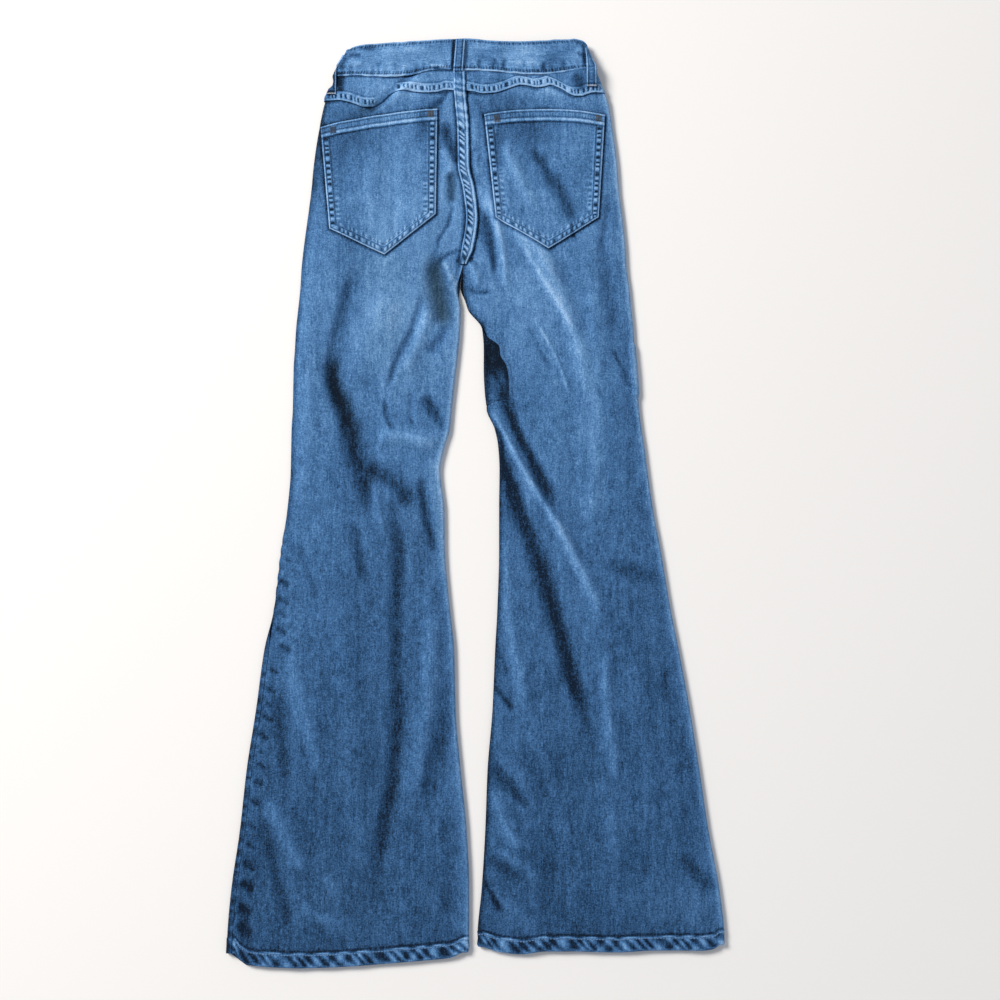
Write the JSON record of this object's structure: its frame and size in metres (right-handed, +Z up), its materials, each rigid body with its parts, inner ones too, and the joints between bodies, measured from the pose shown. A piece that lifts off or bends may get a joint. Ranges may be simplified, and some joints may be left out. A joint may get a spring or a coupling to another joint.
{
  "type": "flared jeans",
  "caption": "Pair of flared denim jeans lying flat on their front, seat up, with a two-layer waistband, back yokes, patch pockets, felled seat seam and belt loops.",
  "frame": {"origin": "on the surface that the jeans lie on, under the middle of their bounding box", "axes": "+Y from the hems to the waistband, +X across to the wearer's right side, +Z up from the surface, towards the seat side"},
  "size_m": [0.5544, 1.0898, 0.015],
  "materials": {
    "denim": "mid-wash stretch denim twill, faded on the folds",
    "denim_pale": "the same denim, paler with wear over the seat and waist",
    "denim_seam": "doubled denim with worn pale edges and dark creases",
    "antique_brass": "dull antique brass"
  },
  "bodies": {
    "root": {"leg_back_left": "denim", "leg_back_right": "denim", "leg_front_left": "denim", "leg_front_right": "denim", "yoke_left": "denim_pale", "yoke_right": "denim_pale", "pocket_back_left": "denim_pale", "pocket_back_right": "denim_pale", "seat_seam": "denim_seam", "waistband": "denim_pale", "belt_loop_back": "denim_seam", "belt_loop_left": "denim_seam", "belt_loop_right": "denim_seam", "belt_loop_front_left": "denim_seam", "belt_loop_front_right": "denim_seam", "waist_button": "antique_brass"}
  },
  "joints": []
}
